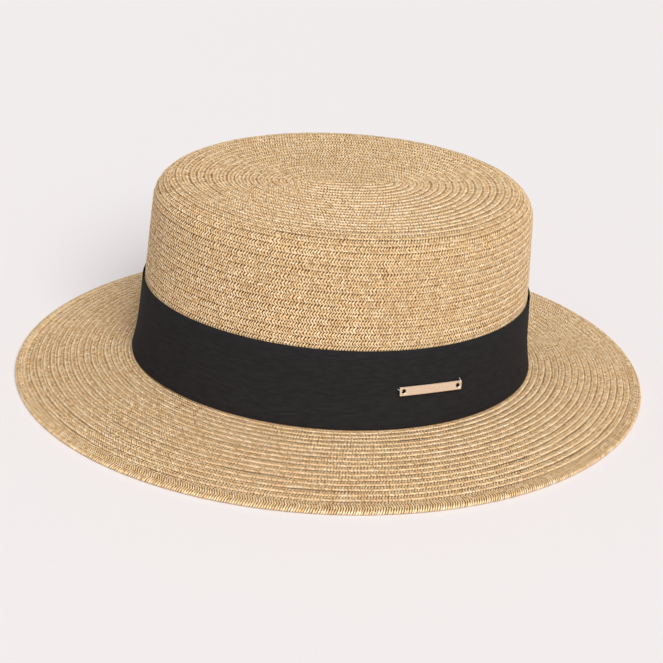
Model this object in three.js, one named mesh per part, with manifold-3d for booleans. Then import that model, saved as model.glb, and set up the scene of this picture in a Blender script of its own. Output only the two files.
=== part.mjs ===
// A straw boater hat: crown and brim of sewn paper braid, a ribbon band and a small metal bar.
// Millimetres. +Z is up, -Y is the front of the hat and +X is the wearer's left side.
// The origin lies on the surface that the hat rests on, under the middle of the brim.

import * as THREE from 'three';
import { mergeVertices } from 'three/addons/utils/BufferGeometryUtils.js';
import Module from 'manifold-3d';

// Plan of the head, an oval
const crownHalfWidth = 82.7; // to the wall's outer face at the foot, before the flare
const ovalExtra = 16.8; // the oval is this much longer than wide at each end
const eggBulge = 1.7; // and this much fuller towards the back
const slitSoftness = 0.2; // how softly the braid turns round at the ends of the tip's first fold

// Crown, measured along its own axis from the plane where it meets the brim
const crownHeight = 95;
const crownTaper = 5; // the wall is this much narrower at each side where the edge starts
const crownEdgeRadius = 13.5;
const tipDish = 1.3; // how deep the middle of the tip lies below the rounded edge
const footFlare = 2.1; // how far the foot spreads over the brim
const footFlareHeight = 24;
const crownWall = 1.4; // without the lips of the braid
const crownLeanDegrees = 1.2; // the crown leans this much towards the back

// Braid rows: each row's lower or outer lip lies over the next row
const crownRowPitch = 3.5;
const brimRowPitch = 3.4;
const rowLip = 0.45;
const lipSlope = 0.3; // run of the small face under a lip

// Brim, from the crown's flared foot to the edge
const brimWidth = 59.5;
const brimWall = 1.6;
const brimDrop = 7.9;
const brimCurve = 1.9; // power of the curve that the brim falls in
const restLandWidth = 4; // the underside is flat over this width at the edge
const brimEdgeRound = 0.5;

// Finishing row of braid, laid over the brim's edge
const edgeBraidWidth = 6;
const edgeBraidThickness = 1.1;

// Ribbon band round the crown
const ribbonWidth = 39.8;
const ribbonLift = 1.4;
const ribbonThickness = 1;

// Metal bar on the ribbon, nearly straight, so that its middle seats and its ends stand off
const barLength = 33.4;
const barHeight = 4.7;
const barThickness = 0.8;
const barHoleRadius = 1.05;
const barHoleInset = 2.1;
const barAngleDegrees = 17.4; // from the wearer's left towards the back
const barCentreHeight = 20.8;
const barTiltDegrees = 1.3; // its back end hangs lower
const barBendShare = 0.2; // share of the crown's curve that the bar follows

// Clearance between pieces that touch
const seatGap = 0.3;

// Facets round the oval, on the crown's rounded edge and along the bar
const ovalFacets = 36;
const edgeFacets = 5;
const barFacets = 8;
const holeFacets = 16;

const crownTopHalfWidth = crownHalfWidth - crownTaper;
const footHalfWidth = crownHalfWidth + footFlare;
const edgeStartHeight = crownHeight - crownEdgeRadius;
const ribbonTop = ribbonLift + ribbonWidth;
const junctionHeight = brimWall + brimDrop;
const leanSlope = Math.tan(THREE.MathUtils.degToRad(crownLeanDegrees));

// Point of the plan oval whose outward normal has this angle. Ovals with other offsets are
// parallel curves. Near the middle of the tip they narrow to the slit where the braid starts.
function ovalPoint(angle, offset) {
  const s = Math.sin(angle);
  const c = Math.cos(angle);
  const roundness = 1 - (1 - Math.min(1, offset / (3 * ovalExtra))) ** 2;
  const root = Math.hypot(s, slitSoftness);
  const rootSpan = Math.hypot(1, slitSoftness) - slitSoftness;
  const slit = (root - slitSoftness) / rootSpan;
  const slitTurn = (s * c) / root / rootSpan;
  const support = offset
    + ovalExtra * ((1 - roundness) * slit + roundness * s * s)
    + roundness * eggBulge * s * c * c;
  const turn = ovalExtra * ((1 - roundness) * slitTurn + roundness * 2 * s * c)
    + roundness * eggBulge * (c ** 3 - 2 * s * s * c);
  return [support * c - turn * s, support * s + turn * c];
}

// Closed mesh swept round the oval. A section is a list of [offset, z], or [offset, z, lean] with
// the share of the crown's lean, ordered down the outside and up the inside. An offset of zero at
// either end closes the shell on the middle.
function sweepOval(section) {
  const positions = [];
  const rings = section.map(([offset, z, lean = 0]) => {
    const start = positions.length / 3;
    const count = offset === 0 ? 1 : ovalFacets;
    for (let i = 0; i < count; i += 1) {
      const [x, y] = offset === 0 ? [0, 0] : ovalPoint((2 * Math.PI * i) / ovalFacets, offset);
      positions.push(x, y, z - lean * leanSlope * y);
    }
    return { start, count };
  });
  const indices = [];
  const last = rings[0].count === 1 ? rings.length - 1 : rings.length;
  for (let k = 0; k < last; k += 1) {
    const upper = rings[k];
    const lower = rings[(k + 1) % rings.length];
    for (let i = 0; i < ovalFacets; i += 1) {
      const j = (i + 1) % ovalFacets;
      const a = upper.start + (upper.count === 1 ? 0 : i);
      const b = lower.start + (lower.count === 1 ? 0 : i);
      const c = lower.start + (lower.count === 1 ? 0 : j);
      const d = upper.start + (upper.count === 1 ? 0 : j);
      if (b !== c) indices.push(a, b, c);
      if (a !== d) indices.push(a, c, d);
    }
  }
  const geometry = new THREE.BufferGeometry();
  geometry.setAttribute('position', new THREE.Float32BufferAttribute(positions, 3));
  geometry.setIndex(indices);
  geometry.computeVertexNormals();
  return geometry;
}

// Half-width of the crown's outer face at a height on the wall
function wallHalfWidth(z) {
  const taper = crownTaper * (1 - z / edgeStartHeight);
  const flare = footFlare * Math.max(0, 1 - z / footFlareHeight) ** 2;
  return crownTopHalfWidth + taper + flare;
}

// Outline of the crown by the distance from the middle of the tip: a shallow dish, a rounded
// edge, and the wall down to the foot. `out` moves the point off the outer face.
const edgeCentre = crownTopHalfWidth - crownEdgeRadius;
const dishAngle = Math.atan((2 * tipDish) / edgeCentre);
const dishEnd = edgeCentre - crownEdgeRadius * Math.sin(dishAngle);
const edgeLength = crownEdgeRadius * (Math.PI / 2 + dishAngle);
const outlineLength = dishEnd + edgeLength + edgeStartHeight;

function crownOutline(distance, out = 0) {
  if (distance < dishEnd) {
    const rim = edgeStartHeight + crownEdgeRadius * Math.cos(dishAngle);
    const depth = (Math.tan(dishAngle) * dishEnd) / 2;
    const z = rim - depth * (1 - (distance / dishEnd) ** 2);
    const slope = (Math.tan(dishAngle) * distance) / dishEnd;
    const normal = Math.hypot(1, slope);
    return [distance - (out * slope) / normal, z + out / normal];
  }
  if (distance < dishEnd + edgeLength) {
    const turn = (distance - dishEnd) / crownEdgeRadius - dishAngle;
    const radius = crownEdgeRadius + out;
    return [edgeCentre + radius * Math.sin(turn), edgeStartHeight + radius * Math.cos(turn)];
  }
  const z = edgeStartHeight - (distance - dishEnd - edgeLength);
  return [wallHalfWidth(z) + out, z];
}

function crown() {
  const section = [crownOutline(0)];
  const lipsEnd = outlineLength - ribbonTop - seatGap - lipSlope;
  for (let lip = crownRowPitch / 2; lip < lipsEnd; lip += crownRowPitch) {
    section.push(crownOutline(lip, rowLip), crownOutline(lip + lipSlope));
  }
  const flareSteps = 4;
  for (let i = flareSteps; i >= 0; i -= 1) {
    const z = seatGap + ((footFlareHeight - seatGap) * i) / flareSteps;
    section.push([wallHalfWidth(z), z]);
  }
  for (let i = 0; i <= flareSteps; i += 1) {
    const z = seatGap + ((footFlareHeight - seatGap) * i) / flareSteps;
    section.push([wallHalfWidth(z) - crownWall, z]);
  }
  for (let i = edgeFacets; i >= 0; i -= 1) {
    section.push(crownOutline(dishEnd + (edgeLength * i) / edgeFacets, -crownWall));
  }
  section.push(crownOutline(dishEnd / 2, -crownWall));
  section.push(crownOutline(0, -crownWall));
  return sweepOval(section);
}

// Upper face of the brim: height above the resting plane and share of the crown's lean
function brimTop(outward, lift = 0) {
  const share = Math.max(0, outward) / brimWidth;
  const z = brimWall + brimDrop * (1 - share ** brimCurve) + lift;
  return [footHalfWidth + outward, z, 1 - share];
}

function brim() {
  const section = [brimTop(-crownWall), brimTop(lipSlope)];
  const lipsEnd = brimWidth - edgeBraidWidth - seatGap - lipSlope;
  for (let lip = brimRowPitch; lip < lipsEnd; lip += brimRowPitch) {
    section.push(brimTop(lip, rowLip), brimTop(lip + lipSlope));
  }
  section.push(brimTop(brimWidth - edgeBraidWidth));
  section.push(brimTop(brimWidth - brimEdgeRound));
  const edge = footHalfWidth + brimWidth;
  section.push([edge, brimWall - brimEdgeRound], [edge, brimEdgeRound]);
  section.push([edge - brimEdgeRound, 0], [edge - restLandWidth, 0]);
  const underSteps = 5;
  const underEnd = brimWidth - 2 * restLandWidth;
  for (let i = underSteps; i > 0; i -= 1) {
    section.push(brimTop((underEnd * i) / underSteps, -brimWall));
  }
  section.push(brimTop(-crownWall, -brimWall));
  return sweepOval(section);
}

function edgeBraid() {
  const inner = brimWidth - edgeBraidWidth;
  const middle = brimWidth - edgeBraidWidth / 2;
  const round = edgeBraidThickness / 3;
  const under = seatGap;
  const over = seatGap + edgeBraidThickness;
  return sweepOval([
    brimTop(inner, over - round),
    brimTop(inner + round, over),
    brimTop(middle, over - round / 2),
    brimTop(brimWidth - round, over),
    brimTop(brimWidth, over - round),
    brimTop(brimWidth, under + round),
    brimTop(brimWidth - round, under),
    brimTop(inner, under),
  ]);
}

function ribbonBand() {
  const levels = [ribbonTop, footFlareHeight];
  const flareSteps = 3;
  for (let i = flareSteps - 1; i >= 0; i -= 1) {
    levels.push(ribbonLift + ((footFlareHeight - ribbonLift) * i) / flareSteps);
  }
  const outside = levels.map((z) => [wallHalfWidth(z) + seatGap + ribbonThickness, z]);
  const inside = levels.map((z) => [wallHalfWidth(z) + seatGap, z]).reverse();
  return sweepOval([...outside, ...inside]);
}

// Moves a flat piece drawn in the XY plane, with its back at z = 0, onto the ribbon's face
function bendOntoRibbon(geometry) {
  const angle = THREE.MathUtils.degToRad(barAngleDegrees);
  const seat = seatGap + ribbonThickness + seatGap;
  const [x, y] = ovalPoint(angle, wallHalfWidth(barCentreHeight) + seat);
  const [x2, y2] = ovalPoint(angle + 1e-3, wallHalfWidth(barCentreHeight) + seat);
  const curveRadius = Math.hypot(x2 - x, y2 - y) / 1e-3;
  const [normalX, normalY] = [Math.cos(angle), Math.sin(angle)];
  const blend = THREE.MathUtils.lerp;
  const fall = Math.tan(THREE.MathUtils.degToRad(barTiltDegrees));
  const position = geometry.getAttribute('position');
  for (let i = 0; i < position.count; i += 1) {
    const z = barCentreHeight + position.getY(i) - position.getX(i) * fall;
    const along = position.getX(i);
    const off = wallHalfWidth(z) - wallHalfWidth(barCentreHeight) + position.getZ(i);
    const bent = ovalPoint(angle + along / curveRadius, wallHalfWidth(z) + seat + position.getZ(i));
    const straightX = x - normalY * along + normalX * off;
    const straightY = y + normalX * along + normalY * off;
    const placeX = blend(straightX, bent[0], barBendShare);
    const placeY = blend(straightY, bent[1], barBendShare);
    position.setXYZ(i, placeX, placeY, z);
  }
  return geometry;
}

const wasm = await Module();
wasm.setup();

function toSolid(geometry) {
  const bare = geometry.clone();
  bare.deleteAttribute('normal');
  bare.deleteAttribute('uv');
  const merged = mergeVertices(bare);
  return new wasm.Manifold(new wasm.Mesh({
    numProp: 3,
    vertProperties: new Float32Array(merged.getAttribute('position').array),
    triVerts: new Uint32Array(merged.getIndex().array),
  }));
}

function fromSolid(solid) {
  const mesh = solid.getMesh();
  const geometry = new THREE.BufferGeometry();
  geometry.setAttribute('position', new THREE.BufferAttribute(mesh.vertProperties, 3));
  geometry.setIndex(new THREE.BufferAttribute(mesh.triVerts, 1));
  geometry.computeVertexNormals();
  return geometry;
}

function metalBar() {
  const plate = new THREE.BoxGeometry(barLength, barHeight, barThickness, barFacets, 1, 1);
  plate.translate(0, 0, barThickness / 2);
  let solid = toSolid(bendOntoRibbon(plate));
  for (const side of [-1, 1]) {
    const depth = 3 * barThickness;
    const drill = new THREE.CylinderGeometry(barHoleRadius, barHoleRadius, depth, holeFacets);
    drill.rotateX(Math.PI / 2);
    drill.translate(side * (barLength / 2 - barHoleInset), 0, barThickness / 2);
    solid = solid.subtract(toSolid(bendOntoRibbon(drill)));
  }
  return fromSolid(solid);
}

function piece(name, geometry, color, roughness, metalness = 0) {
  const material = new THREE.MeshStandardMaterial({ color, roughness, metalness });
  const mesh = new THREE.Mesh(geometry, material);
  mesh.name = name;
  return mesh;
}

const straw = 0xd2b184;
const ribbonBlack = 0x2a2829;
const roseGold = 0xe3bd98;

const leaningCrown = new THREE.Group();
leaningCrown.position.z = junctionHeight;
leaningCrown.rotation.x = -THREE.MathUtils.degToRad(crownLeanDegrees);
leaningCrown.add(
  piece('crown', crown(), straw, 0.75),
  piece('ribbon_band', ribbonBand(), ribbonBlack, 0.8),
  piece('metal_bar', metalBar(), roseGold, 0.3, 1),
);

const hat = new THREE.Group();
hat.add(
  leaningCrown,
  piece('brim', brim(), straw, 0.75),
  piece('edge_braid', edgeBraid(), straw, 0.75),
);

export default hat;
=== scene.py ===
# %% [markdown]
# # A straw boater hat
# A boater is made from one long plait of paper straw, sewn round and round on itself. The plait
# starts in the middle of the crown's flat tip, turns down over its rounded edge, runs down the
# wall and then out over the brim. A black ribbon hides the seam at the crown's foot, and a small
# metal bar is tied to the ribbon. This notebook makes the hat in that order.
#
# The plain solids of the hat are loaded first, as a frame at the real size. They stay where they
# are, and each piece made here takes the place of one of them.

# %% Load the frame
import math

import bmesh
import bpy
import numpy as np
from mathutils import Matrix, Vector


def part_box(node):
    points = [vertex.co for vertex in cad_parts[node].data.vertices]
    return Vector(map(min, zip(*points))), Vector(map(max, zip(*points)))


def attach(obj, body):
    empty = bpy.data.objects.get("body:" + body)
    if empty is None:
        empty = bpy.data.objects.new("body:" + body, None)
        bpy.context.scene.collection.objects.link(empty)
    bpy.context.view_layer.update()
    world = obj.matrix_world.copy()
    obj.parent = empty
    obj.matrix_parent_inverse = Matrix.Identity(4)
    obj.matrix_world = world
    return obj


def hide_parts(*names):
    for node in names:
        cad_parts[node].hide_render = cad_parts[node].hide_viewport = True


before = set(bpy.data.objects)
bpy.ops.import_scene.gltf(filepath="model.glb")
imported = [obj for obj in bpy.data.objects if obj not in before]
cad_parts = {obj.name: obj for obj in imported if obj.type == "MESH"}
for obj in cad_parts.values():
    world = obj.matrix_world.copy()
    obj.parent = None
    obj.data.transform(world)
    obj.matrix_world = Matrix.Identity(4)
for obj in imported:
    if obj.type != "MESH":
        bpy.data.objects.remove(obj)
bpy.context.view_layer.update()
for node_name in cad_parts:
    low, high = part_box(node_name)
    print(node_name, "is", [round(1000 * side, 1) for side in high - low], "mm")

# %% [markdown]
# Blender counts in metres, but a hat maker thinks in millimetres. All sizes below are in
# millimetres, and one factor turns them into metres when a mesh is made. They are the sizes of the
# solids that this notebook dresses. The oval is longer than it is wide by twice OVAL_EXTRA, and
# EGG_BULGE makes one end a little fuller than the other.

# %% Sizes of the hat
MM = 0.001

CROWN_HALF_WIDTH = 82.7
CROWN_HEIGHT = 95
CROWN_TAPER = 5
CROWN_EDGE_RADIUS = 13.5
CROWN_LEAN = math.radians(1.2)
CROWN_WALL = 1.4
TIP_DISH = 1.3
FOOT_FLARE = 2.1
FOOT_FLARE_HEIGHT = 24
OVAL_EXTRA = 16.8
EGG_BULGE = 1.7
SLIT_SOFTNESS = 0.2

BRIM_WIDTH = 59.5
BRIM_WALL = 1.6
BRIM_DROP = 7.9
BRIM_CURVE = 1.9
EDGE_BRAID_WIDTH = 6

RIBBON_WIDTH = 39.8
RIBBON_LIFT = 1.4
RIBBON_FACE = 1.3

CROWN_TOP_HALF_WIDTH = CROWN_HALF_WIDTH - CROWN_TAPER
FOOT_HALF_WIDTH = CROWN_HALF_WIDTH + FOOT_FLARE
EDGE_START_HEIGHT = CROWN_HEIGHT - CROWN_EDGE_RADIUS
JUNCTION_HEIGHT = BRIM_WALL + BRIM_DROP
RIBBON_TOP = RIBBON_LIFT + RIBBON_WIDTH

# %% [markdown]
# Seen from above, every row of the plait is an oval, and all the ovals are parallel curves. Such a
# family is easiest to describe by the angle of the outward normal and the distance from a middle
# line. Near the middle of the tip the oval narrows to the slit where the plait starts. NumPy works
# the points out for whole arrays of angles at once, which is much faster than a Python loop.

# %% The plan oval
FULL_OVAL_FROM = 3 * OVAL_EXTRA


def oval_points(angle, offset):
    """x and y of the oval's points whose outward normals have these angles."""
    s, c = np.sin(angle), np.cos(angle)
    roundness = 1 - (1 - np.minimum(1, offset / FULL_OVAL_FROM)) ** 2
    root = np.hypot(s, SLIT_SOFTNESS)
    root_span = math.hypot(1, SLIT_SOFTNESS) - SLIT_SOFTNESS
    slit = (root - SLIT_SOFTNESS) / root_span
    slit_turn = s * c / root / root_span
    egg = roundness * EGG_BULGE
    support = offset + OVAL_EXTRA * ((1 - roundness) * slit + roundness * s * s) + egg * s * c * c
    turn = OVAL_EXTRA * ((1 - roundness) * slit_turn + roundness * 2 * s * c)
    turn = turn + egg * (c**3 - 2 * s * s * c)
    return support * c - turn * s, support * s + turn * c


def path_lengths(points):
    """The length of a path up to each of its points."""
    steps = np.linalg.norm(np.diff(points, axis=0), axis=1)
    return np.append(0, steps.cumsum())


foot = np.stack(oval_points(np.linspace(0, 2 * np.pi, 721), FOOT_HALF_WIDTH), axis=-1)
print("the crown's foot is", round(path_lengths(foot)[-1]), "mm round")

# %% [markdown]
# The crown's outline is followed by its distance from the middle of the tip: first a shallow dish,
# then the rounded edge, then the wall down to the foot. The crown leans a little to the back, so
# its points are turned about the X axis and lifted onto the brim. The brim falls in a gentle curve
# to its edge, on which the hat rests. A modelled surface could carry the plait as well, but a
# function gives a point at any place and any lift, which is what a spiral of plait needs.

# %% Places on the crown and the brim
EDGE_CENTRE = CROWN_TOP_HALF_WIDTH - CROWN_EDGE_RADIUS
DISH_ANGLE = math.atan(2 * TIP_DISH / EDGE_CENTRE)
DISH_END = EDGE_CENTRE - CROWN_EDGE_RADIUS * math.sin(DISH_ANGLE)
EDGE_LENGTH = CROWN_EDGE_RADIUS * (math.pi / 2 + DISH_ANGLE)
OUTLINE_LENGTH = DISH_END + EDGE_LENGTH + EDGE_START_HEIGHT
SLIT_HALF_WIDTH = 0.05


def wall_half_width(height):
    """Half-width of the crown's outer face at this height above the brim."""
    taper = CROWN_TAPER * (1 - height / EDGE_START_HEIGHT)
    flare = FOOT_FLARE * np.maximum(0, 1 - height / FOOT_FLARE_HEIGHT) ** 2
    return CROWN_TOP_HALF_WIDTH + taper + flare


def on_leaning_crown(x, y, z):
    """Points of the upright crown, leaned back and set on the brim."""
    s, c = math.sin(CROWN_LEAN), math.cos(CROWN_LEAN)
    return np.stack([x, y * c + z * s, z * c - y * s + JUNCTION_HEIGHT], axis=-1)


def crown_place(angle, distance, lift):
    """Points at this distance from the middle of the tip, lifted off the crown's face."""
    slope = math.tan(DISH_ANGLE) * distance / DISH_END
    normal = np.hypot(1, slope)
    rim = EDGE_START_HEIGHT + CROWN_EDGE_RADIUS * math.cos(DISH_ANGLE)
    depth = math.tan(DISH_ANGLE) * DISH_END / 2
    dish_offset = distance - lift * slope / normal
    dish_height = rim - depth * (1 - (distance / DISH_END) ** 2) + lift / normal

    turn = (distance - DISH_END) / CROWN_EDGE_RADIUS - DISH_ANGLE
    edge_offset = EDGE_CENTRE + (CROWN_EDGE_RADIUS + lift) * np.sin(turn)
    edge_height = EDGE_START_HEIGHT + (CROWN_EDGE_RADIUS + lift) * np.cos(turn)

    wall_height = EDGE_START_HEIGHT - (distance - DISH_END - EDGE_LENGTH)
    wall_offset = wall_half_width(wall_height) + lift

    parts = [distance < DISH_END, distance < DISH_END + EDGE_LENGTH]
    offset = np.select(parts, [dish_offset, edge_offset], wall_offset)
    height = np.select(parts, [dish_height, edge_height], wall_height)
    x, y = oval_points(angle, np.maximum(offset, SLIT_HALF_WIDTH))
    return on_leaning_crown(x, y, height)


def brim_place(angle, outward, lift):
    """Points at this distance out from the crown's foot, lifted off the brim's upper face."""
    share = np.clip(outward / BRIM_WIDTH, 0, None)
    x, y = oval_points(angle, FOOT_HALF_WIDTH + outward)
    level = BRIM_WALL + BRIM_DROP * (1 - share**BRIM_CURVE) + lift
    return np.stack([x, y, level - (1 - share) * math.tan(CROWN_LEAN) * y], axis=-1)


print("from the middle of the tip to the foot is", round(OUTLINE_LENGTH), "mm")

# %% [markdown]
# Every mesh in this hat is a section swept along a path, like a cord of pastry pressed from a
# nozzle. The points come as a grid, one row of points for each step along the path, and the faces
# join neighbours in the grid. A swept strip is closed at its ends, so each piece is a real solid.
# A second value rides along with each point: how many stitches along the plait it lies and how far
# across the row. The material reads it to draw each strand in its place.

# %% Meshes from swept sections
def swept_faces(steps, corners, ring):
    """Faces round a sweep of steps sections, each a loop of this many corners."""
    step = np.arange(steps if ring else steps - 1)[:, None]
    corner = np.arange(corners)[None, :]
    after = (step + 1) % steps
    beside = (corner + 1) % corners
    sides = [step * corners + corner, step * corners + beside,
             after * corners + beside, after * corners + corner]
    faces = np.stack(np.broadcast_arrays(*sides), axis=-1).reshape(-1, 4)
    if ring:
        return faces
    cap = np.array([[j, j + 1, corners - 2 - j, corners - 1 - j] for j in range(corners // 2 - 1)])
    far_cap = cap + (steps - 1) * corners
    return np.concatenate([faces, cap[:, ::-1], far_cap])


def mesh_object(name, grid, place=None, ring=False):
    """A smooth mesh from a grid of points in millimetres."""
    steps, corners = grid.shape[:2]
    faces = swept_faces(steps, corners, ring)
    mesh = bpy.data.meshes.new(name)
    mesh.vertices.add(steps * corners)
    mesh.vertices.foreach_set("co", (grid * MM).astype(np.float32).ravel())
    mesh.loops.add(faces.size)
    mesh.loops.foreach_set("vertex_index", faces.astype(np.int32).ravel())
    mesh.polygons.add(len(faces))
    mesh.polygons.foreach_set("loop_start", np.arange(0, faces.size, 4, dtype=np.int32))
    mesh.update(calc_edges=True)
    mesh.polygons.foreach_set("use_smooth", np.ones(len(faces), bool))
    if place is not None:
        attribute = mesh.attributes.new("braid_place", "FLOAT_VECTOR", "POINT")
        attribute.data.foreach_set("vector", place.astype(np.float32).ravel())
    made = bpy.data.objects.new(name, mesh)
    bpy.context.collection.objects.link(made)
    print(name, "has", 2 * len(faces), "triangles")
    return made

# %% [markdown]
# Colours are written as the hex values that a screen shows (sRGB). Blender's shaders want linear
# light, so one function converts them. Another small function adds a node to a material, sets its
# values and links its inputs.

# %% Helpers for materials
def linear(hex_colour):
    """Linear RGBA from an sRGB hex colour."""
    channels = [int(hex_colour[i:i + 2], 16) / 255 for i in (1, 3, 5)]
    light = [c / 12.92 if c <= 0.04045 else ((c + 0.055) / 1.055) ** 2.4 for c in channels]
    return (*light, 1)


def add_node(tree, kind, inputs=None, **settings):
    """Adds a node, sets its settings, and gives each named input a value or a link."""
    node = tree.nodes.new(kind)
    for setting, value in settings.items():
        setattr(node, setting, value)
    for socket, value in (inputs or {}).items():
        if isinstance(value, bpy.types.NodeSocket):
            tree.links.new(value, node.inputs[socket])
        else:
            node.inputs[socket].default_value = value
    return node


def new_material(name, **values):
    """A material, its node tree and its Principled shader with these socket values."""
    material = bpy.data.materials.new(name)
    material.use_nodes = True
    tree = material.node_tree
    shader = tree.nodes["Principled BSDF"]
    for socket, value in values.items():
        shader.inputs[socket].default_value = value
    return material, tree, shader


def paint_stops(ramp, stops):
    """Sets a Color Ramp's stops to these places and hex colours."""
    elements = ramp.color_ramp.elements
    while len(elements) < len(stops):
        elements.new(0.5)
    for element, (place, colour) in zip(elements, stops):
        element.position = place
        element.color = linear(colour)


def bend_curve(node, points):
    """Sets a Float Curve's line through these points."""
    curve = node.mapping.curves[0]
    while len(curve.points) < len(points):
        curve.points.new(0.5, 0.5)
    for point, (place, value) in zip(curve.points, points):
        point.location = (place, value)
    node.mapping.update()

# %% [markdown]
# The straw is twisted paper, dyed in two tones and plaited dry. Cream and tan strands lie side by
# side, which gives the hat its tweedy look. A picture of a weave could be wrapped round the hat, but
# it would stretch over the shoulder. Here each point of the mesh knows its place on the plait, so
# the pattern is counted out stitch by stitch and stays true everywhere. Each strand's tone comes
# from its own number, so the colour changes from strand to strand and never inside one.

# %% Straw: a tone for each strand
SECOND_SET = 0.37


def strand_tones(tree, along, across):
    """Cream and tan by the strand's number, with painted shade in the row's body and a painted
    highlight at its lip.
    """
    # One set of strands leans one way in the row's first half, a second set leans the other way
    number = add_node(tree, "ShaderNodeMath", {0: along}, operation="FLOOR")
    second = add_node(tree, "ShaderNodeMath", {0: across, 1: 0.5}, operation="GREATER_THAN")
    strand = add_node(tree, "ShaderNodeMath", {0: second.outputs[0], 1: SECOND_SET,
                                               2: number.outputs[0]}, operation="MULTIPLY_ADD")
    chance = add_node(tree, "ShaderNodeTexWhiteNoise", {"W": strand.outputs[0]},
                      noise_dimensions="1D")
    tone = add_node(tree, "ShaderNodeValToRGB", {"Fac": chance.outputs["Value"]})
    paint_stops(tone, [(0.0, "#E0B98B"), (0.25, "#EFCB9D"), (0.75, "#F9DAB1"), (1.0, "#FEE7C8")])

    # Painted shade in a row's body and under the row before, and a painted highlight along its lip
    row_shade_and_lip_highlight = add_node(tree, "ShaderNodeValToRGB", {"Fac": across})
    paint_stops(row_shade_and_lip_highlight, [(0.0, "#D9D5CA"), (0.2, "#E6E3DA"), (0.38, "#E6E3DA"),
                           (0.55, "#D9D5CA"), (0.76, "#D9D5CA"), (0.92, "#FBFAF6")])
    tones_with_row_light = add_node(tree, "ShaderNodeVectorMath", {0: tone.outputs["Color"],
                                                     1: row_shade_and_lip_highlight.outputs["Color"]},
                      operation="MULTIPLY")
    return tones_with_row_light.outputs[0]

# %% [markdown]
# Fine fibres run along each strand. Real ones are about 0.05 mm wide, too fine to show from here,
# so they are drawn at about 0.24 mm, six to a stitch of 1.42 mm. A noise that is squeezed along the
# plait and left long across the row makes such streaks. Because it is laid out in the plait's own
# places, it leans with the strands.

# %% Straw: fibres
FIBRES_PER_STITCH = 6
FIBRES_PER_ROW = 5


def paper_fibres(tree, place):
    """Streaks along the strands, as a height and as a shade."""
    squeezed = add_node(tree, "ShaderNodeVectorMath",
                        {0: place, 1: (FIBRES_PER_STITCH, FIBRES_PER_ROW, 1)},
                        operation="MULTIPLY")
    fibre = add_node(tree, "ShaderNodeTexNoise", {"Vector": squeezed.outputs[0], "Scale": 1.0,
                                                  "Detail": 2.0, "Roughness": 0.6})
    shade = add_node(tree, "ShaderNodeMapRange", {"Value": fibre.outputs["Fac"], 1: 0.3, 2: 0.7,
                                                  3: 0.94, 4: 1.28})
    return fibre.outputs["Fac"], shade.outputs[0]

# %% [markdown]
# The spaces between the strands lie in deep shade. They are narrow along a strand and open into
# holes where the strands cross and where the sewing pulls them in, just under the lip of the row
# before. The mesh is too coarse for holes this small, so the material paints their shade in dark
# brown: a curve gives the gap's width from one side of the row to the other, and a noise sees to
# it that no two are alike.

# %% Straw: gaps and stitch holes
GAP_WIDTHS = [(0.0, 0.25), (0.17, 0.26), (0.3, 0.11), (0.43, 0.11), (0.53, 0.22), (0.63, 0.11),
              (0.85, 0.09), (1.0, 0.06)]
EDGE_GAP = 0.13
GAP_STRAY = 0.15


def dark_gaps(tree, place, across, on_edge, from_gap):
    """1 in the gaps between the strands and 0 on the strands."""
    row_width = add_node(tree, "ShaderNodeFloatCurve", {"Value": across})
    bend_curve(row_width, GAP_WIDTHS)
    edge_width = add_node(tree, "ShaderNodeMath", {0: on_edge, 1: EDGE_GAP}, operation="MULTIPLY")
    width = add_node(tree, "ShaderNodeMath", {0: row_width.outputs[0], 1: edge_width.outputs[0]},
                     operation="MAXIMUM")
    per_stitch = add_node(tree, "ShaderNodeVectorMath", {0: place, 1: (1.1, 2.4, 1)},
                          operation="MULTIPLY")
    uneven = add_node(tree, "ShaderNodeTexNoise", {"Vector": per_stitch.outputs[0], "Scale": 1.0,
                                                   "Detail": 1.0})
    stray = add_node(tree, "ShaderNodeMapRange", {"Value": uneven.outputs["Fac"], 1: 0.25,
                                                  2: 0.75, 3: -GAP_STRAY, 4: GAP_STRAY})
    real_width = add_node(tree, "ShaderNodeMath", {0: width.outputs[0], 1: stray.outputs[0]},
                          operation="ADD")
    beyond = add_node(tree, "ShaderNodeMath", {0: from_gap, 1: real_width.outputs[0]},
                      operation="SUBTRACT")
    dark = add_node(tree, "ShaderNodeMapRange", {"Value": beyond.outputs[0], 1: -0.06, 2: 0.08,
                                                 3: 1.0, 4: 0.0}, interpolation_type="SMOOTHSTEP")
    return dark.outputs[0]

# %% [markdown]
# Now the whole material. Paper has an IOR near 1.5 and a rough, slightly waxy surface, so its
# highlights are broad and weak, and a faint sheen stands for its fuzz. The strands' roundness, the
# fibres and the sunk gaps are bump: they are less than 0.2 mm deep, and the mesh already gives each
# strand its larger rise.

# %% Material: plaited paper straw
# Dark brown painted as shade in the gaps between the strands and in the stitch holes
GAP_SHADE_BROWN = "#5E3604"
RELIEF_DEPTH = 0.18


def strand_relief(tree, from_gap, fibre, dark):
    """Height of round strands with fibres on them and sunk gaps between them."""
    round_strand = add_node(tree, "ShaderNodeMapRange", {"Value": from_gap, 1: 0.0, 2: 0.35,
                                                         3: 0.0, 4: 1.0},
                            interpolation_type="SMOOTHERSTEP")
    fibred = add_node(tree, "ShaderNodeMath", {0: fibre, 1: 0.5, 2: round_strand.outputs[0]},
                      operation="MULTIPLY_ADD")
    relief = add_node(tree, "ShaderNodeMath", {0: dark, 1: -1.0, 2: fibred.outputs[0]},
                      operation="MULTIPLY_ADD")
    return relief.outputs[0]


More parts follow.
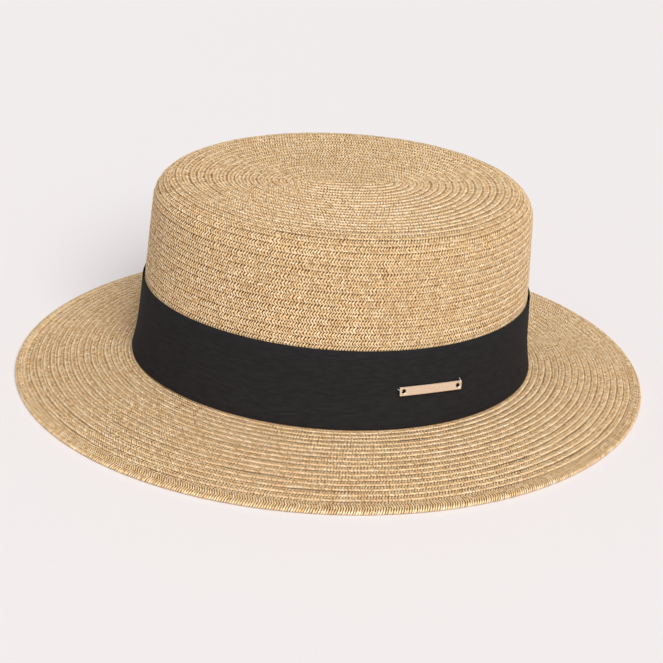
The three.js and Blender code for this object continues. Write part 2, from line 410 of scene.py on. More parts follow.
def plaited_paper_straw():
    """Cream and tan paper strands, with painted shade between the strands and in the stitch holes.
    """
    material, tree, shader = new_material("plaited paper straw", Roughness=0.62, IOR=1.5)
    shader.inputs["Specular IOR Level"].default_value = 0.3
    shader.inputs["Sheen Weight"].default_value = 0.06
    shader.inputs["Sheen Roughness"].default_value = 0.5
    place = add_node(tree, "ShaderNodeAttribute", attribute_name="braid_place").outputs["Vector"]
    axes = add_node(tree, "ShaderNodeSeparateXYZ", {"Vector": place})
    along, across, on_edge = axes.outputs
    from_gap = add_node(tree, "ShaderNodeMath", {0: along, 1: 0.5}, operation="PINGPONG").outputs[0]
    fibre, fibre_shade = paper_fibres(tree, place)
    dark = dark_gaps(tree, place, across, on_edge, from_gap)
    shaded = add_node(tree, "ShaderNodeVectorMath", {0: strand_tones(tree, along, across),
                                                     "Scale": fibre_shade}, operation="SCALE")
    # Painted shade: the gaps and stitch holes are mixed towards the dark brown
    colour = add_node(tree, "ShaderNodeMix", {0: dark, 6: shaded.outputs[0],
                                              7: linear(GAP_SHADE_BROWN)}, data_type="RGBA")
    tree.links.new(colour.outputs[2], shader.inputs["Base Color"])
    relief = strand_relief(tree, from_gap, fibre, dark)
    bump = add_node(tree, "ShaderNodeBump", {"Height": relief, "Strength": 0.9,
                                             "Distance": RELIEF_DEPTH * MM})
    tree.links.new(bump.outputs["Normal"], shader.inputs["Normal"])
    return material


straw = plaited_paper_straw()
print(straw.name, "has", len(straw.node_tree.nodes), "nodes")

# %% [markdown]
# Now the plait itself. On the real hat it is about 6 mm wide, and each turn is sewn half over the
# next one, so only a row of about 3.4 mm shows. A row's section starts tucked under the row before
# it, rises past the line of stitch holes, and ends in a lip that lies over the next row. The
# strands cross the row in a chevron, whose fold lies a little below the row's middle on the crown
# and a little above it on the brim. A flat strip with a picture of chevrons would look printed, so
# the points themselves slant with the strands and rise over each one.

# %% Section of a sewn row
STITCH = 1.42
COLUMNS_PER_STITCH = 3

# Each corner of the section has its share across the row, its lift off the face in mm, its slant
# in stitches, the share at which the material draws it, and the relief in mm of the three columns
# of each stitch: at the hole, beside it and on the strand
crown_section = np.array([
    # across  lift  slant  drawn   hole  beside  strand
    [-0.30, -1.05, 0.30, -0.30, 0.00, 0.00, 0.00],
    [0.08, -0.13, 0.26, 0.08, -0.16, 0.06, 0.10],
    [0.54, -0.06, -0.42, 0.50, -0.14, 0.05, 0.08],
    [0.78, 0.07, -0.10, 0.75, -0.08, 0.06, 0.06],
    [0.95, 0.12, 0.34, 0.95, -0.12, 0.08, 0.06],
    [1.00, -0.32, 0.46, 1.00, 0.00, 0.00, 0.00],
])
brim_section = np.array([
    [-0.30, -1.05, 0.20, -0.30, 0.00, 0.00, 0.00],
    [0.06, -0.22, 0.20, 0.08, -0.16, 0.06, 0.08],
    [0.44, -0.16, -0.42, 0.50, -0.14, 0.05, 0.08],
    [0.73, 0.00, 0.10, 0.75, -0.12, 0.06, 0.06],
    [0.92, 0.17, 0.70, 0.94, -0.12, 0.08, 0.06],
    [1.00, -0.30, 0.90, 1.00, 0.00, 0.00, 0.00],
])
print("a row has", len(crown_section), "corners and", COLUMNS_PER_STITCH, "columns a stitch")

# %% [markdown]
# The plait goes round in a spiral, and places along it are counted in turns round the hat. Blender
# could sweep a bevel along a curve, but its rows of points would stand square to the path. So the
# points are worked out here: first the length of the path, then three columns of points for each
# stitch. A maker's hand is never quite steady, so the columns slip, sway and rise a little, by
# random amounts that change slowly along the plait. A fixed seed gives the same hat every time.

# %% Lay the plait along its spiral
# Over how many stitches the hand strays, and how far: along in stitches, across in rows, up in mm
SLIP_ALONG = (3, 0.2)
SWAY_ACROSS = (9, 0.035)
RISE_OFF_FACE = (14, 0.03)
STRAND_RISE = 0.04
PATH_POINTS_PER_TURN = 1440
ROW_MIDDLE = 0.6
FOLD_REACH = 0.6
FOLD_LIFT = -0.05
FOLD_DRAWN = 0.3


def slow_wander(random, count, stitches, size):
    """A column of smooth random values that change over about this many stitches."""
    spacing = stitches * COLUMNS_PER_STITCH
    knots = random.normal(0, size, count // spacing + 3)
    return np.interp(np.arange(count) / spacing, np.arange(len(knots)), knots)[:, None]


def spiral_path(surface, row_edge, first_turn, last_turn):
    """Turns in small even steps, and the length of the plait up to each of them."""
    count = int((last_turn - first_turn) * PATH_POINTS_PER_TURN)
    turns = np.linspace(first_turn, last_turn, count)
    row_width = row_edge(turns + 1) - row_edge(turns)
    middle = surface(2 * np.pi * turns, row_edge(turns) + ROW_MIDDLE * row_width, 0)
    return turns, path_lengths(middle)


def lay_plait(surface, row_edge, first_turn, last_turn, section, random):
    """Grid of points of a plait sewn in a spiral, their places on it, and each column's turn."""
    row_across, row_lift, row_slant, row_drawn = section[:, :4].T
    turns, length = spiral_path(surface, row_edge, first_turn, last_turn)
    stitches = int(length[-1] / STITCH)
    count = stitches * COLUMNS_PER_STITCH
    column = np.arange(count)
    along = column[:, None] / COLUMNS_PER_STITCH

    slip = slow_wander(random, count, *SLIP_ALONG)
    turn = np.interp((along + slip + row_slant) * STITCH, length, turns)
    width = row_edge(turn + 1) - row_edge(turn)
    sway = slow_wander(random, count, *SWAY_ACROSS)
    distance = row_edge(turn) + (row_across + sway) * width

    strand_rise = random.normal(0, STRAND_RISE, (stitches, len(section)))
    lift = row_lift + section[:, 4:].T[column % COLUMNS_PER_STITCH]
    lift = lift + np.repeat(strand_rise, COLUMNS_PER_STITCH, axis=0)
    lift = lift + slow_wander(random, count, *RISE_OFF_FACE)
    # The two sides of the first fold meet flush, and no holes are drawn there
    meeting = np.clip(1 - (row_edge(turn) + row_across * width) / FOLD_REACH, 0, 1)
    lift = lift * (1 - meeting) + FOLD_LIFT * meeting
    drawn = row_drawn + FOLD_DRAWN * meeting

    grid = surface(2 * np.pi * turn, distance, lift)
    place = np.stack(np.broadcast_arrays(along, drawn, 0 * turn), axis=-1)
    column_turn = np.interp(along[:, 0] * STITCH, length, turns)
    print("the plait is", round(length[-1] / 1000, 1), "m long with", stitches, "stitches")
    return grid, place, column_turn


def stretch_of_plait(name, plait, start, stop, every=1):
    """The stretch of a laid plait between two turns as one closed mesh."""
    grid, place, column_turn = plait
    first, last = np.searchsorted(column_turn, [start, stop])
    chosen = slice(first, last + 1, every)
    return mesh_object(name, grid[chosen], place[chosen])

# %% [markdown]
# The crown's rows are a little wider on the flat tip than on the wall, because the plait lies slack
# there, and for the same reason they stand up more. A row's width could be set turn by turn. It is
# simpler to say where each turn starts, because the row then ends where the next one starts.

# %% Rows of the crown
TIP_ROW = 3.65
WALL_ROW = 3.3
TIP_SLACK = 1.35
START_ANGLE_TURNS = 0.25

tip_turns = DISH_END / TIP_ROW
crown_turns = tip_turns + (OUTLINE_LENGTH - DISH_END) / WALL_ROW


def crown_row_edge(turn):
    """Distance from the middle of the tip where a row starts, after this many turns."""
    turn = turn - START_ANGLE_TURNS
    distance = TIP_ROW * np.minimum(turn, tip_turns) + WALL_ROW * np.maximum(0, turn - tip_turns)
    return np.clip(distance, 0, OUTLINE_LENGTH)


def crown_braid_place(angle, distance, lift):
    """The crown's face, on which rows stand up more where the plait lies slack."""
    slack = np.interp(distance, [DISH_END, DISH_END + EDGE_LENGTH], [TIP_SLACK, 1])
    return crown_place(angle, distance, lift * slack)


print("the tip has", round(tip_turns, 1), "rows, and the whole crown has", round(crown_turns, 1))

# %% [markdown]
# The crown's plait is laid in one go and then cut into four stretches, so that no mesh gets too
# heavy and each can be picked by itself. Its first end is a point, and the last turn at the foot
# narrows away, as a maker tapers the end of a plait. Under the ribbon nobody sees the outside, so
# one column for each stitch is enough there.

# %% Crown
TAPERED_END = 0.25
POINTED_START = 0.03
HAND_SEED = 5

random = np.random.default_rng(HAND_SEED)
crown_start = START_ANGLE_TURNS - 1 + POINTED_START
crown_end = crown_turns + START_ANGLE_TURNS - TAPERED_END
crown_plait = lay_plait(crown_braid_place, crown_row_edge, crown_start, crown_end,
                        crown_section, random)
shoulder_turn = tip_turns + START_ANGLE_TURNS
ribbon_distance = OUTLINE_LENGTH - RIBBON_TOP
hidden_turn = shoulder_turn + (ribbon_distance - DISH_END) / WALL_ROW + 1
wall_turn = (shoulder_turn + hidden_turn) / 2
tip_braid = stretch_of_plait("crown_tip_braid", crown_plait, crown_start, shoulder_turn)
shoulder_braid = stretch_of_plait("crown_shoulder_braid", crown_plait, shoulder_turn, wall_turn)
wall_braid = stretch_of_plait("crown_wall_braid", crown_plait, wall_turn, hidden_turn)
foot_braid = stretch_of_plait("crown_foot_braid", crown_plait, hidden_turn, crown_end,
                              every=COLUMNS_PER_STITCH)
crown_pieces = [tip_braid, shoulder_braid, wall_braid, foot_braid]

# %% [markdown]
# The brim goes on with the same plait, so the same function lays it, on the brim's surface. Its
# inner end tapers in under the ribbon, and its outer end tapers away under the finishing row. It is
# cut in two where both stretches have about as many faces.

# %% Brim
BRIM_ROW = 3.38
BRIM_START = -CROWN_WALL
BRIM_TUCK = 2.0
BRIM_LIP_RISE = 0.25
INNER_SHARE = 0.58
brim_stop = BRIM_WIDTH - EDGE_BRAID_WIDTH + BRIM_TUCK
brim_turns = (brim_stop - BRIM_START) / BRIM_ROW


def brim_row_edge(turn):
    """Distance out from the crown's foot where a row starts, after this many turns."""
    return np.clip(BRIM_START + BRIM_ROW * (turn - 1), BRIM_START, brim_stop)


def brim_braid_place(angle, outward, lift):
    """The brim's face, raised so that the plait's lips reach as high as the solid's."""
    return brim_place(angle, outward, lift + BRIM_LIP_RISE)


brim_end = brim_turns + 1 - TAPERED_END
brim_plait = lay_plait(brim_braid_place, brim_row_edge, TAPERED_END, brim_end,
                       brim_section, random)
middle_turn = INNER_SHARE * brim_end
inner_brim = stretch_of_plait("brim_inner_braid", brim_plait, TAPERED_END, middle_turn)
outer_brim = stretch_of_plait("brim_outer_braid", brim_plait, middle_turn, brim_end)
brim_pieces = [inner_brim, outer_brim]

# %% [markdown]
# The finishing row lies on top of the brim's edge at the plait's full width, so both sides of its
# chevrons show, with the stitch line down its middle. Its inner side is a raised lip, and its outer
# side rolls over the edge. It is a plain ring and not a spiral, so it has a section and a path of
# its own, but the same kind of strands and the same material.

# %% Finishing row at the edge
EDGE_STITCH = 1.2
EDGE_STRAND_RISE = 0.035
EDGE_PATH_POINTS = 4001
EDGE_STITCH_LINE = 0.57
# The material draws its stitch holes at this share of a row, and the row's sides away from them,
# towards the painted highlight of a lip
HOLES_DRAWN_AT = 0.16
SIDES_DRAWN = 2
edge_section = np.array([
    # across  lift   slant   hole  beside  strand
    [0.17, -0.20, 0.00, 0.00, 0.00, 0.00],
    [0.20, 0.46, 0.05, -0.08, 0.06, 0.04],
    [0.30, 0.62, 0.25, -0.16, 0.10, 0.05],
    [0.44, 0.50, 0.55, -0.14, 0.10, 0.05],
    [0.57, 0.38, 0.90, -0.26, 0.06, 0.02],
    [0.71, 0.50, 0.66, -0.14, 0.10, 0.05],
    [0.87, 0.34, 0.42, -0.14, 0.10, 0.05],
    [0.97, -0.05, 0.20, -0.12, 0.10, 0.05],
    [1.00, -0.60, 0.00, -0.08, 0.06, 0.04],
    [0.97, -1.20, -0.30, 0.00, 0.00, 0.00],
    [0.70, -2.02, -0.50, 0.00, 0.00, 0.00],
    [0.20, -1.00, -0.20, 0.00, 0.00, 0.00],
])


def edge_ring(random):
    """Grid and places of the finishing row, a closed ring."""
    angle = np.linspace(0, 2 * np.pi, EDGE_PATH_POINTS)
    length = path_lengths(brim_place(angle, BRIM_WIDTH - EDGE_BRAID_WIDTH / 2, 0))
    stitches = round(length[-1] / EDGE_STITCH)
    column = np.arange(stitches * COLUMNS_PER_STITCH)
    across, lift, slant = edge_section[:, 0], edge_section[:, 1], edge_section[:, 2]
    along = column[:, None] / COLUMNS_PER_STITCH
    turn = np.interp((along + slant) / stitches * length[-1] % length[-1], length, angle)
    strand_rise = random.normal(0, EDGE_STRAND_RISE, (stitches, len(edge_section)))
    relief = edge_section[:, 3:].T[column % COLUMNS_PER_STITCH]
    height = lift + relief + np.repeat(strand_rise, COLUMNS_PER_STITCH, axis=0)
    outward = BRIM_WIDTH - EDGE_BRAID_WIDTH * (1 - across)
    grid = brim_place(turn, outward, height)
    drawn_across = HOLES_DRAWN_AT + np.abs(across - EDGE_STITCH_LINE) * SIDES_DRAWN
    place = np.stack(np.broadcast_arrays(along, drawn_across, 1 + 0 * turn), axis=-1)
    return grid, place


edge_braid = mesh_object("brim_edge_braid", *edge_ring(random), ring=True)

# %% [markdown]
# The band is a black grosgrain ribbon, woven from fine polyester. Its thick weft makes close
# upright ribs. They are under a tenth of a millimetre deep, so they are bump, and they are drawn
# 0.9 mm apart, a little coarser than most, so that they just show. Matt black cloth is never quite
# black: it sends back between one and two hundredths of the light, with hardly any gloss.

# %% Material: black grosgrain
def black_grosgrain():
    """Matt black cloth with upright ribs and hardly any sheen."""
    material, tree, shader = new_material("black grosgrain", Roughness=0.82, IOR=1.5)
    shader.inputs["Specular IOR Level"].default_value = 0.1
    shader.inputs["Sheen Weight"].default_value = 0.005
    shader.inputs["Sheen Roughness"].default_value = 0.5
    place = add_node(tree, "ShaderNodeAttribute", attribute_name="braid_place")
    axes = add_node(tree, "ShaderNodeSeparateXYZ", {"Vector": place.outputs["Vector"]})
    rib_wave = add_node(tree, "ShaderNodeMath", {0: axes.outputs["X"], 1: 0.5},
                        operation="PINGPONG")
    rib = add_node(tree, "ShaderNodeMapRange", {"Value": rib_wave.outputs[0], 1: 0.0, 2: 0.5,
                                                3: 0.0, 4: 1.0},
                   interpolation_type="SMOOTHERSTEP")
    # The cloth takes the light a little unevenly, in patches of about 5 mm
    cloudy = add_node(tree, "ShaderNodeTexNoise", {"Scale": 35.0, "Detail": 3.0})
    shade = add_node(tree, "ShaderNodeValToRGB", {"Fac": cloudy.outputs["Fac"]})
    paint_stops(shade, [(0.35, "#1F1D1E"), (0.65, "#252324")])
    tree.links.new(shade.outputs["Color"], shader.inputs["Base Color"])
    bump = add_node(tree, "ShaderNodeBump", {"Height": rib.outputs[0], "Strength": 0.3,
                                             "Distance": 0.05 * MM})
    tree.links.new(bump.outputs["Normal"], shader.inputs["Normal"])
    return material

# %% [markdown]
# The ribbon is stretched round the crown's foot, and its ends lap on the wearer's right side, where
# they are sewn. A cloth simulation could drape it, but a stretched ribbon simply follows the crown.
# So its section, with thinner edges, is swept round the crown's own oval, and lifts by its own
# thickness where the outer end lies over the start.

# %% Ribbon band
RIB = 0.9
RIBBON_CLOTH = 0.5
RIBBON_STEP = 1.5
RIBBON_LEVELS = 12
RIBBON_PATH_POINTS = 4001
# The firm edge of the cloth, and how much thinner it is there on the outer and the inner face
SELVEDGE = 0.4
OUTER_THINNING = 0.15
INNER_THINNING = 0.25
LAP_ANGLE = math.pi
LAP_LENGTH = 14
LAP_REACH = 0.3
LAP_GAP = 0.15


def ribbon_section():
    """Heights and offsets of the corners of the ribbon's section."""
    high, low = RIBBON_TOP, RIBBON_LIFT
    between = np.linspace(high - SELVEDGE, low + SELVEDGE, RIBBON_LEVELS)
    levels = np.concatenate([[high], between, [low]])
    fullness = np.minimum(1, np.minimum(high - levels, levels - low) / SELVEDGE)
    outer = RIBBON_FACE - OUTER_THINNING * (1 - fullness)
    inner = outer[::-1] - RIBBON_CLOTH + INNER_THINNING * (1 - fullness)
    return np.concatenate([levels, levels[::-1]]), np.concatenate([outer, inner])


def ribbon_strip():
    """Grid, places and length of the ribbon, whose outer end lies over its start."""
    angle = np.linspace(LAP_ANGLE, LAP_ANGLE + 2 * np.pi + LAP_REACH, RIBBON_PATH_POINTS)
    middle = oval_points(angle, wall_half_width(RIBBON_TOP / 2) + RIBBON_FACE)
    length = path_lengths(np.stack(middle, axis=-1))
    girth = np.interp(LAP_ANGLE + 2 * np.pi, angle, length)
    along = np.linspace(0, girth + LAP_LENGTH, int((girth + LAP_LENGTH) / RIBBON_STEP))
    turn = np.interp(along, length, angle)
    raised = np.clip((along - girth + 3 * LAP_LENGTH) / (2 * LAP_LENGTH), 0, 1)
    lap = (RIBBON_CLOTH + LAP_GAP) * raised**2 * (3 - 2 * raised)
    height, face = ribbon_section()
    x, y = oval_points(turn[:, None], wall_half_width(height) + face + lap[:, None])
    grid = on_leaning_crown(x, y, np.broadcast_to(height, x.shape))
    place = np.stack(np.broadcast_arrays(along[:, None] / RIB, height / RIBBON_WIDTH, 0 * x),
                     axis=-1)
    return grid, place, girth + LAP_LENGTH


ribbon_grid, ribbon_place, ribbon_length = ribbon_strip()
ribbon = mesh_object("ribbon_band_cloth", ribbon_grid, ribbon_place)
grosgrain = black_grosgrain()
print("the ribbon is", round(ribbon_length), "mm long")

# %% [markdown]
# The bar is a thin strip of brass, plated in pale rose gold and brushed lengthwise. Plated gold is
# a metal all through to the light, so it is fully metallic and keeps the default IOR. The brush
# lines blur its highlights more in one direction than in the other.

# %% Material: brushed rose gold
def brushed_rose_gold():
    """Satin plated brass; the fine brush lines stretch its highlights along the bar."""
    material, tree, shader = new_material("brushed rose gold plate", Roughness=0.3, Metallic=1.0)
    shader.inputs["Base Color"].default_value = linear("#FBE2C6")
    flat = add_node(tree, "ShaderNodeAttribute", attribute_name="flat_place")
    # Brush lines are about 0.02 mm apart; drawn at 0.3 mm, the finest that shows
    lines = add_node(tree, "ShaderNodeVectorMath", {0: flat.outputs["Vector"], 1: (0.15, 6, 1)},
                     operation="MULTIPLY")
    brush = add_node(tree, "ShaderNodeTexNoise", {"Vector": lines.outputs[0], "Scale": 1.0,
                                                  "Detail": 3.0})
    rough = add_node(tree, "ShaderNodeMapRange", {"Value": brush.outputs["Fac"], 1: 0.3, 2: 0.7,
                                                  3: 0.2, 4: 0.34})
    tree.links.new(rough.outputs[0], shader.inputs["Roughness"])
    bump = add_node(tree, "ShaderNodeBump", {"Height": brush.outputs["Fac"], "Strength": 0.3,
                                             "Distance": 0.02 * MM})
    tree.links.new(bump.outputs["Normal"], shader.inputs["Normal"])
    return material

# %% [markdown]
# The bar is nearly straight, so its middle lies on the ribbon and its ends stand a little off, each
# tied through a hole. First comes one function that carries points drawn flat onto the ribbon. The
# threads use it too, so they stay on the bar wherever it sits.

# %% The bar's place on the ribbon
BAR_ANGLE = math.radians(17.4)
BAR_CENTRE_HEIGHT = 20.5
BAR_FALL = math.tan(math.radians(1.7))
BAR_BEND_SHARE = 0.2
BAR_SEAT = RIBBON_FACE + 0.3
SMALL_TURN = 1e-3


def bend_onto_ribbon(flat):
    """Moves points drawn flat, x along the bar and z off the ribbon, onto the ribbon's face."""
    middle = wall_half_width(BAR_CENTRE_HEIGHT) + BAR_SEAT
    x, y = oval_points(BAR_ANGLE + np.array([0, SMALL_TURN]), middle)
    curve_radius = math.hypot(x[1] - x[0], y[1] - y[0]) / SMALL_TURN
    along = flat[:, 0]
    height = BAR_CENTRE_HEIGHT + flat[:, 1] - along * BAR_FALL
    offset = wall_half_width(height) + BAR_SEAT + flat[:, 2]
    bent_x, bent_y = oval_points(BAR_ANGLE + along / curve_radius, offset)
    normal_x, normal_y = math.cos(BAR_ANGLE), math.sin(BAR_ANGLE)
    straight_x = x[0] - normal_y * along + normal_x * (offset - middle)
    straight_y = y[0] + normal_x * along + normal_y * (offset - middle)
    placed_x = straight_x + BAR_BEND_SHARE * (bent_x - straight_x)
    placed_y = straight_y + BAR_BEND_SHARE * (bent_y - straight_y)
    return on_leaning_crown(placed_x, placed_y, height)


print("the bar leans with the crown and falls", round(BAR_FALL * 100, 1), "mm in each 100 mm")

# %% [markdown]
# A filled 2D curve makes a plate with its holes in one go: Blender extrudes it and rounds every
# edge, which takes several modifiers on a box. Its mesh is then cut across in many places, so that
# it can bend a little.

# %% Metal bar
BAR_LENGTH = 33.4
BAR_HEIGHT = 4.7
BAR_THICKNESS = 0.8
BAR_CORNER = 0.15
BAR_ROUNDING = 0.28
BAR_HOLE_RADIUS = 1.05
BAR_HOLE_INSET = 2.1
BAR_SLICES = 33
CORNER_STEPS = 4
HOLE_POINTS = 24
WELD_DISTANCE = 0.001
SHARP_FROM = math.radians(40)


def rounded_outline():
    """Corner points of the bar's outline with small arcs at its corners."""
    points = []
    for quarter, (sx, sy) in enumerate([(1, 1), (-1, 1), (-1, -1), (1, -1)]):
        centre_x = sx * (BAR_LENGTH / 2 - BAR_CORNER - BAR_ROUNDING)
        centre_y = sy * (BAR_HEIGHT / 2 - BAR_CORNER - BAR_ROUNDING)
        for step in range(CORNER_STEPS + 1):
            turn = math.pi / 2 * (quarter + step / CORNER_STEPS)
            points.append((centre_x + BAR_CORNER * math.cos(turn),
                           centre_y + BAR_CORNER * math.sin(turn)))
    return points


def round_hole(side):
    """Points round one of the bar's holes."""
    centre = side * (BAR_LENGTH / 2 - BAR_HOLE_INSET)
    radius = BAR_HOLE_RADIUS + BAR_ROUNDING
    turns = [2 * math.pi * i / HOLE_POINTS for i in range(HOLE_POINTS)]
    return [(centre + radius * math.cos(t), radius * math.sin(t)) for t in turns]


def flat_plate():
    """The bar's flat mesh with rounded edges, from a filled curve."""
    curve = bpy.data.curves.new("bar_outline", "CURVE")
    curve.dimensions = "2D"
    curve.fill_mode = "BOTH"
    curve.extrude = BAR_THICKNESS / 2 - BAR_ROUNDING
    curve.bevel_depth = BAR_ROUNDING
    curve.bevel_resolution = 3
    for outline in [rounded_outline(), round_hole(-1), round_hole(1)]:
        spline = curve.splines.new("POLY")
        spline.points.add(len(outline) - 1)
        spline.points.foreach_set("co", [v for x, y in outline for v in (x, y, 0, 1)])
        spline.use_cyclic_u = True
    drawn = bpy.data.objects.new("bar_outline", curve)
    bpy.context.collection.objects.link(drawn)
    mesh = bpy.data.meshes.new_from_object(drawn.evaluated_get(
        bpy.context.evaluated_depsgraph_get()))
    bpy.data.objects.remove(drawn)
    return mesh


def cut_across(mesh):
    """Welds the plate's faces together and cuts them across, so that they can bend."""
    plate = bmesh.new()
    plate.from_mesh(mesh)
    bmesh.ops.remove_doubles(plate, verts=plate.verts, dist=WELD_DISTANCE)
    for cut in np.linspace(-BAR_LENGTH / 2, BAR_LENGTH / 2, BAR_SLICES + 1)[1:-1]:
        everything = [*plate.verts, *plate.edges, *plate.faces]
        bmesh.ops.bisect_plane(plate, geom=everything, plane_co=(cut, 0, 0),
                               plane_no=(1, 0, 0))
    plate.to_mesh(mesh)
    plate.free()


def bent_plate():
    """The bar bent onto the ribbon; its flat places stay with it for the brush lines."""
    mesh = flat_plate()
    cut_across(mesh)
    flat = np.zeros(len(mesh.vertices) * 3)
    mesh.vertices.foreach_get("co", flat)
    flat = flat.reshape(-1, 3) + [0, 0, BAR_THICKNESS / 2]
    attribute = mesh.attributes.new("flat_place", "FLOAT_VECTOR", "POINT")
    attribute.data.foreach_set("vector", flat.astype(np.float32).ravel())
    mesh.vertices.foreach_set("co", (bend_onto_ribbon(flat) * MM).ravel())
    mesh.polygons.foreach_set("use_smooth", np.ones(len(mesh.polygons), bool))
    mesh.set_sharp_from_angle(angle=SHARP_FROM)
    made = bpy.data.objects.new("metal_bar_plate", mesh)
    bpy.context.collection.objects.link(made)
    return made


bar = bent_plate()
print("the bar has", len(bar.data.polygons), "faces")

# %% [markdown]
# Clear nylon thread ties the bar to the ribbon. At each hole a short loop comes out, runs over the
# bar's end and goes back into the cloth. A curve with a round bevel is the simplest thread. Real
# nylon is see-through, but at a quarter of a millimetre it only shows as a pale, shiny line, so it
# is drawn as one.

# %% Material and loops: nylon thread
THREAD_RADIUS = 0.13
# Offsets from the hole's middle in mm: along the bar, up it and off its back
FRONT_LOOP = [(-0.8, 0.2, -0.2), (-0.9, 0.3, 0.85), (-1.6, 0.6, 1.15),
              (-2.3, 0.9, 0.8), (-2.6, 1.0, 0.0), (-2.7, 1.0, -0.4)]
BACK_LOOP = [(0.5, 0.6, -0.2), (0.6, 0.8, 0.9), (0.8, 1.6, 1.2),
             (1.0, 2.6, 1.0), (1.1, 3.1, 0.2), (1.1, 3.2, -0.4)]


def nylon_thread():
    """Fine pale monofilament; smooth, so it catches small bright points of light."""
    material, tree, shader = new_material("nylon thread", Roughness=0.3, IOR=1.53)
    grain = add_node(tree, "ShaderNodeTexNoise", {"Scale": 900.0})
    shade = add_node(tree, "ShaderNodeValToRGB", {"Fac": grain.outputs["Fac"]})
    paint_stops(shade, [(0.3, "#CFC6B8"), (0.7, "#EFE8DC")])
    tree.links.new(shade.outputs["Color"], shader.inputs["Base Color"])
    return material


def thread_loop(name, side, offsets):
    """A thread through these offsets from the hole at this end of the bar."""
    hole = (side * (BAR_LENGTH / 2 - BAR_HOLE_INSET), 0, 0)
    bent = bend_onto_ribbon(np.array(offsets) + hole) * MM
    curve = bpy.data.curves.new(name, "CURVE")
    curve.dimensions = "3D"
    curve.bevel_depth = THREAD_RADIUS * MM
    curve.bevel_resolution = 2
    curve.resolution_u = 6
    curve.use_fill_caps = True
    spline = curve.splines.new("BEZIER")
    spline.bezier_points.add(len(bent) - 1)
    for point, co in zip(spline.bezier_points, bent):
        point.co = co
        point.handle_left_type = "AUTO"
        point.handle_right_type = "AUTO"
    made = bpy.data.objects.new(name, curve)
    bpy.context.collection.objects.link(made)
    return made


front_thread = thread_loop("bar_thread_front", -1, FRONT_LOOP)
back_thread = thread_loop("bar_thread_back", 1, BACK_LOOP)
thread = nylon_thread()
print("the thread is", 2 * THREAD_RADIUS, "mm thick")

# %% [markdown]
# Each piece now gets its material, and the solid that it stands for is hidden. Nothing on a boater
# moves, so every piece rides on the root.

# %% Put the pieces on the frame
def dress(piece, material, slot, *nodes):
    """Gives a piece its material, sets it on the root body and hides the solids named."""
    piece.data.materials.clear()
    piece.data.materials.append(material)
    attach(piece, "root")
    if nodes:
        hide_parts(*nodes)


for piece in crown_pieces:
    dress(piece, straw, "straw_braid", "crown")
for piece in brim_pieces:
    dress(piece, straw, "straw_braid", "brim")
dress(edge_braid, straw, "straw_braid", "edge_braid")
dress(ribbon, grosgrain, "ribbon", "ribbon_band")
dress(bar, brushed_rose_gold(), "bar_metal", "metal_bar")
dress(front_thread, thread, "ribbon")
dress(back_thread, thread, "ribbon")

# %% [markdown]
# The floor is a plain pale surface that catches the hat's soft shadow. It is large enough that its
# far edge lies outside the picture, and it is not attached to the hat's body.

# %% Floor
def pale_floor():
    """A smooth pale surface, a little uneven in tone so that it doesn't look like a void."""
    material, tree, shader = new_material("pale floor", Roughness=0.7)
    # Clouds about 4 m across, on a floor of 12 m
    cloudy = add_node(tree, "ShaderNodeTexNoise", {"Scale": 3.0, "Detail": 2.0})
    shade = add_node(tree, "ShaderNodeValToRGB", {"Fac": cloudy.outputs["Fac"]})
    paint_stops(shade, [(0.3, "#E9E4E4"), (0.7, "#EDE8E8")])
    tree.links.new(shade.outputs["Color"], shader.inputs["Base Color"])
    return material


FLOOR_SIZE = 12  # in metres
floor_mesh = bpy.data.meshes.new("floor")
half = FLOOR_SIZE / 2
floor_corners = [(-half, -half, 0), (half, -half, 0), (half, half, 0), (-half, half, 0)]
floor_mesh.from_pydata(floor_corners, [], [(0, 1, 2, 3)])
floor = bpy.data.objects.new("floor", floor_mesh)
bpy.context.collection.objects.link(floor)
floor_mesh.materials.append(pale_floor())

# %% [markdown]
# The light is a soft studio light: an even white sky and one far, wide lamp above the camera. An
# area lamp's light fades with distance, but Blender's sun lamp lights everything evenly. Its angle
# sets how wide it looks from the hat, and so how soft the shadows are. The Standard view
# transform shows colours as they are, without a film's roll-off.

# %% Light
SKY_STRENGTH = 0.42
LAMP_STRENGTH = 3.2
LAMP_TURN = math.radians(7)
LAMP_RISE = math.radians(43)
LAMP_SPREAD = math.radians(40)
world = bpy.data.worlds.new("studio")
world.use_nodes = True
world.node_tree.nodes["Background"].inputs["Color"].default_value = linear("#FFFFFF")
world.node_tree.nodes["Background"].inputs["Strength"].default_value = SKY_STRENGTH
bpy.context.scene.world = world
bpy.context.scene.view_settings.view_transform = "Standard"


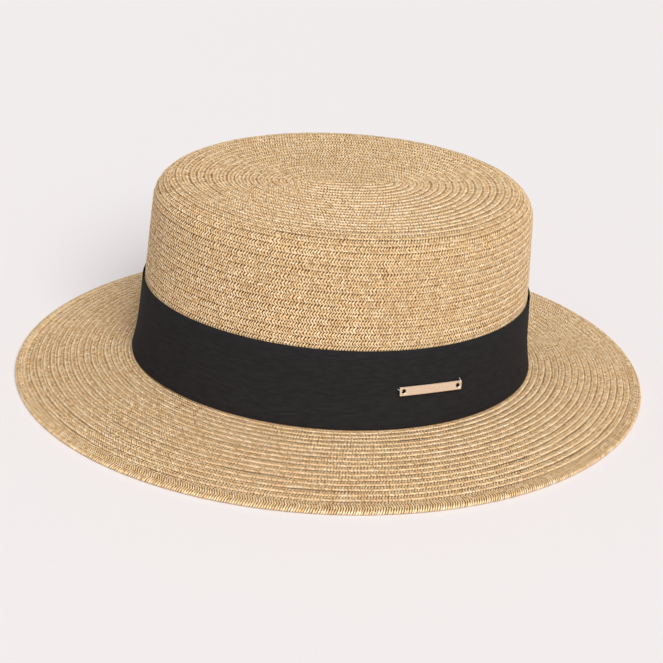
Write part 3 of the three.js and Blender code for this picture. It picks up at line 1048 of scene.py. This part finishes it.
def far_soft_lamp(name, turn, rise, spread, strength):
    """A lamp so far away that it lights everything evenly, as wide in the sky as its spread."""
    lamp = bpy.data.lights.new(name, "SUN")
    lamp.energy = strength
    lamp.angle = spread
    made = bpy.data.objects.new(name, lamp)
    towards = Vector((math.cos(turn) * math.cos(rise), math.sin(turn) * math.cos(rise),
                      math.sin(rise)))
    made.rotation_euler = towards.to_track_quat("Z", "Y").to_euler()
    bpy.context.collection.objects.link(made)
    return made


far_soft_lamp("key_lamp", LAMP_TURN, LAMP_RISE, LAMP_SPREAD, LAMP_STRENGTH)
print("the lamp is", round(math.degrees(LAMP_SPREAD)), "degrees wide")

# %% [markdown]
# The camera looks down on the wearer's left side from the photograph's angle, with a long lens, so
# near and far parts of the brim keep nearly the same scale. Its place is given by how far it is
# turned round the hat, how high it stands and how far off. It is set against the crown, which
# leans, so the whole of it leans with the crown.

# %% Camera
CAMERA_TURN = math.radians(9.795)
CAMERA_RISE = math.radians(25.775)
CAMERA_ROLL = math.radians(-4.95)
CAMERA_DISTANCE = 929.26
AIM_HEIGHT = 11.48
AIM_SIDE = -0.893
SENSOR = 36
LENS = 98.34


def photograph_camera():
    """A camera at the photograph's angle, set against the leaning crown."""
    turn_s, turn_c = math.sin(CAMERA_TURN), math.cos(CAMERA_TURN)
    rise_s, rise_c = math.sin(CAMERA_RISE), math.cos(CAMERA_RISE)
    back = Vector((turn_c * rise_c, -turn_s * rise_c, rise_s))
    right = Vector((turn_s, turn_c, 0))
    up = back.cross(right)
    place = Vector((0, 0, AIM_HEIGHT)) + right * AIM_SIDE + back * CAMERA_DISTANCE
    rolled_right = right * math.cos(CAMERA_ROLL) - up * math.sin(CAMERA_ROLL)
    rolled_up = right * math.sin(CAMERA_ROLL) + up * math.cos(CAMERA_ROLL)
    lean = Matrix.Rotation(-CROWN_LEAN, 3, "X")
    axes = lean @ Matrix((rolled_right, rolled_up, back)).transposed()
    lens = bpy.data.cameras.new("camera")
    lens.sensor_width = SENSOR
    lens.lens = LENS
    camera = bpy.data.objects.new("camera", lens)
    spot = lean @ place + Vector((0, 0, JUNCTION_HEIGHT))
    camera.matrix_world = Matrix.Translation(spot * MM) @ axes.to_4x4()
    bpy.context.collection.objects.link(camera)
    return camera


bpy.context.scene.camera = photograph_camera()
camera_place = bpy.context.scene.camera.matrix_world.translation
print("the camera stands at", [round(v, 3) for v in camera_place])
